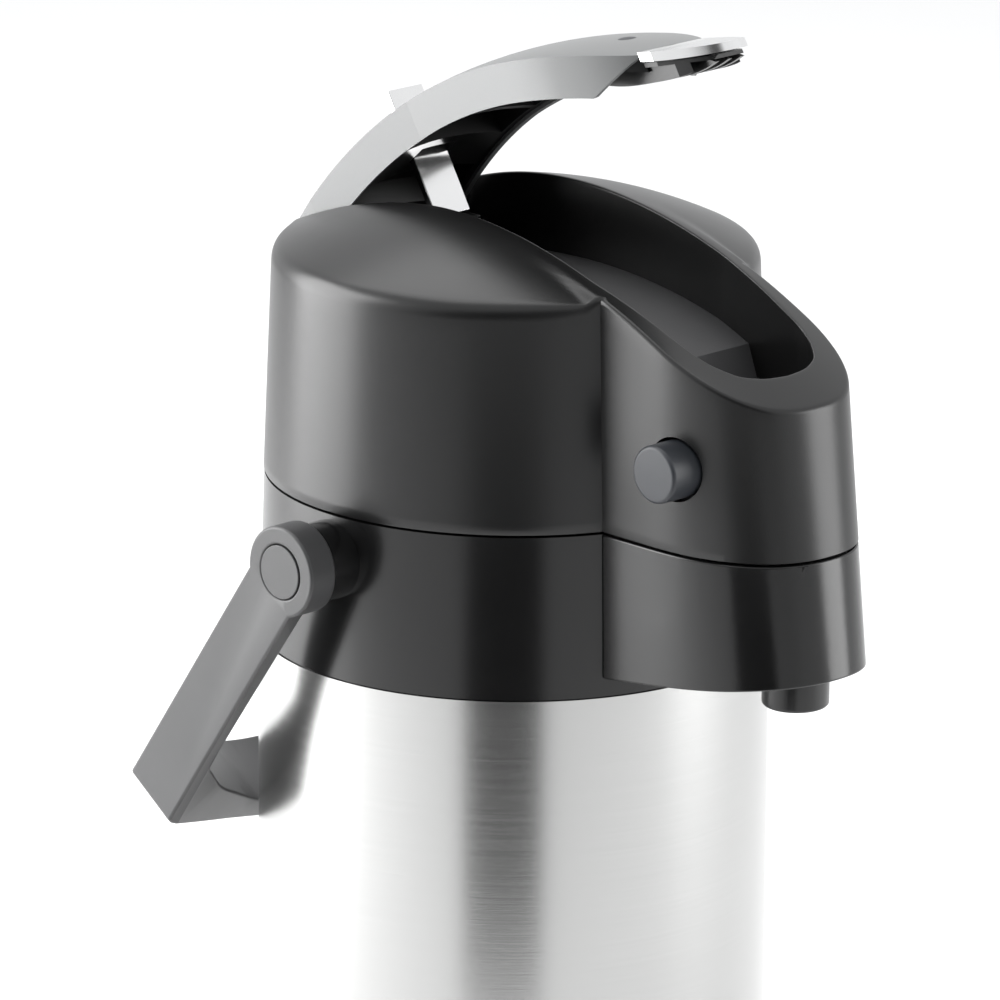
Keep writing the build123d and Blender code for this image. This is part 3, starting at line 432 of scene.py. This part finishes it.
def eased(node, body, slot, width):
    """Joined-up copy of a CAD piece with its sharp edges rounded by width mm."""
    source = frame["nodes"][node]
    clean = bmesh.new()
    clean.from_mesh(source.data)
    bmesh.ops.remove_doubles(clean, verts=clean.verts, dist=2e-6)
    flat = [e for e in clean.edges if len(e.link_faces) == 2 and e.calc_face_angle() < 0.004]
    bmesh.ops.dissolve_edges(clean, edges=flat, use_verts=False)
    mesh = bpy.data.meshes.new(node + "_eased")
    clean.to_mesh(mesh)
    clean.free()
    piece = bpy.data.objects.new(node + "_eased", mesh)
    bpy.context.collection.objects.link(piece)
    round_off = piece.modifiers.new("edges", "BEVEL")
    round_off.width = width * MM
    round_off.segments = 3
    round_off.limit_method = "ANGLE"
    round_off.angle_limit = math.radians(40)
    round_off.use_clamp_overlap = False
    round_off.harden_normals = True
    mesh.shade_smooth()
    mesh.set_sharp_from_angle(angle=math.radians(40))
    return adopt(piece, body, slot, node)


def lever_point(across, u, v):
    """Place on the raised lever: u runs from its pin towards the tip, v square to that."""
    y = LEVER_Y - u * math.cos(LEVER_TILT) + v * math.sin(LEVER_TILT)
    height = LEVER_H + u * math.sin(LEVER_TILT) + v * math.cos(LEVER_TILT)
    return np.stack([across + 0 * y, y, height], axis=-1)


def lever_stud(name, centre, radii, slot):
    """Low oval stud on the lever's arch, a flattened ball.

    Its height is the square root of one less the square of the share of its radius.
    """
    turn = np.linspace(0, 2 * np.pi, 48, endpoint=False)
    rows = []
    for share in (1.0, 0.97, 0.85, 0.6, 0.3, 0.02):
        u = centre + radii[1] * share * np.sin(turn)
        arch = ARCH_V + np.sqrt(ARCH_R**2 - (u - ARCH_U) ** 2)
        lift = -0.3 + 0.65 * math.sqrt(1 - share**2)
        rows.append(lever_point(radii[0] * share * np.cos(turn), u, arch + lift))
    return adopt(grid_mesh(name, np.array(rows)), "lever", slot)


lid_surface()
lever_stud("lever_dot", 131.0, (3.4, 2.4), "button_plastic")
eased("bail", "bail", "grey_plastic", 0.9)
eased("release_button", "release", "button_plastic", 0.5)
eased("spout_cover", "body", "gloss_black", 0.6)
eased("lock_plate", "lock", "bright_chrome", 0.25)
eased("nozzle", "body", "black_plastic", 0.4)
for word in ("left", "right"):
    eased("bail_cap_" + word, "bail", "grey_plastic", 0.3)


# ---- studio -------------------------------------------------------------------------------------------
def plane_mesh(name, corners):
    """One flat four-sided face."""
    mesh = bpy.data.meshes.new(name)
    mesh.from_pydata(corners, [], [(0, 1, 2, 3)])
    thing = bpy.data.objects.new(name, mesh)
    bpy.context.collection.objects.link(thing)
    return thing


def stage_floor():
    """Wide pale floor."""
    size = 6.0
    floor = plane_mesh("floor", [(-size, -size, 0), (size, -size, 0), (size, size, 0), (-size, size, 0)])
    sheet = Sheet("floor_paper")
    cloud = sheet.noise(sheet.place, 3.0)
    sheet.finish(Base_Color=sheet.mix(cloud, grey(0.86), grey(0.9)), Roughness=0.7)
    floor.data.materials.append(sheet.material)


def area_light(name, place, target, size, energy, colour=(1, 1, 1)):
    """Rectangular soft light aimed at a point."""
    data = bpy.data.lights.new(name, "AREA")
    data.shape = "RECTANGLE"
    data.size, data.size_y = size
    data.energy = energy
    data.color = colour
    lamp = bpy.data.objects.new(name, data)
    lamp.location = place
    aim = np.array(target) - np.array(place)
    level = math.hypot(aim[0], aim[1])
    lamp.rotation_euler = (math.atan2(level, -aim[2]), 0, math.atan2(-aim[0], aim[1]))
    bpy.context.collection.objects.link(lamp)


stage_floor()
bpy.context.scene.view_settings.view_transform = "Standard"


def studio_world():
    """White room with a darker stretch of wall behind the camera, so that round forms read."""
    world = bpy.data.worlds.new("studio")
    world.use_nodes = True
    bpy.context.scene.world = world
    sheet = NodeTree(world.node_tree)
    background = world.node_tree.nodes["Background"]
    place = sheet.node("ShaderNodeTexCoord", {}, {}, "Generated")
    a = math.radians(VIEW - 5)
    toward = sheet.node("ShaderNodeVectorMath", {"operation": "DOT_PRODUCT"},
                        {0: place, 1: (math.sin(a), -math.cos(a), 0.0)}, "Value")
    cool = (0.985, 0.992, 1.0)
    stops = [(0.0, grey(1.0, cool)), (0.68, grey(0.95, cool)), (0.86, grey(0.1)), (1.0, grey(0.03))]
    wall = sheet.node("ShaderNodeValToRGB", {"stops": stops}, {0: toward})
    sheet.put(background.inputs["Color"], wall)
    background.inputs["Strength"].default_value = 1.0


def around(azimuth, distance, height):
    """Point at a compass angle from the front, seen from above."""
    a = math.radians(azimuth)
    return (math.sin(a) * distance, -math.cos(a) * distance, height)


def dark_flag():
    """Black card low in front of the pot: only reflections see it, as a dark stripe in the steel."""
    near, reach, high = 0.45, 0.13, 0.24
    centre = np.array(around(VIEW - 4, near, 0.0))
    along = np.array(around(VIEW + 86, reach, 0.0))
    low, top = np.array([0, 0, 0.004]), np.array([0, 0, high])
    card = plane_mesh("flag", [tuple(centre - along + low), tuple(centre + along + low),
                               tuple(centre + along + top), tuple(centre - along + top)])
    sheet = Sheet("flag_cloth")
    sheet.finish(Base_Color=grey(0.01), Roughness=0.9)
    card.data.materials.append(sheet.material)
    card.visible_camera = card.visible_diffuse = card.visible_shadow = False


studio_world()
area_light("key_left", around(-142, 1.2, 0.55), middle, (1.0, 1.3), 30)
area_light("rim_right", around(42, 1.4, 0.4), middle, (0.6, 1.2), 12)
area_light("top_soft", (0.2, 0.5, 1.7), middle, (1.2, 1.2), 10)
dark_flag()


def aim_camera():
    """Long lens at the three-quarter front view, a little above the lid, framed on the upper part."""
    azimuth, elevation, distance = VIEW, 16.4, 2.6
    data = bpy.data.cameras.new("camera")
    camera = bpy.data.objects.new("camera", data)
    bpy.context.collection.objects.link(camera)
    bpy.context.scene.camera = camera
    a, e = math.radians(azimuth), math.radians(elevation)
    back = np.array([math.sin(a) * math.cos(e), -math.cos(a) * math.cos(e), math.sin(e)])
    right = np.array([math.cos(a), math.sin(a), 0.0])
    up = np.cross(back, right)
    target = np.array([0, 0, SEAM]) + right * -0.0044 + up * -0.0105
    place = Matrix.Translation(target + back * distance)
    turn = Matrix.Rotation(a, 4, "Z") @ Matrix.Rotation(math.pi / 2 - e, 4, "X")
    camera.matrix_world = place @ turn @ Matrix.Rotation(math.radians(0.34), 4, "Z")
    data.sensor_width = 36.0
    data.lens = 36.0 * distance / 0.3018
    data.clip_start, data.clip_end = 0.05, 50


aim_camera()
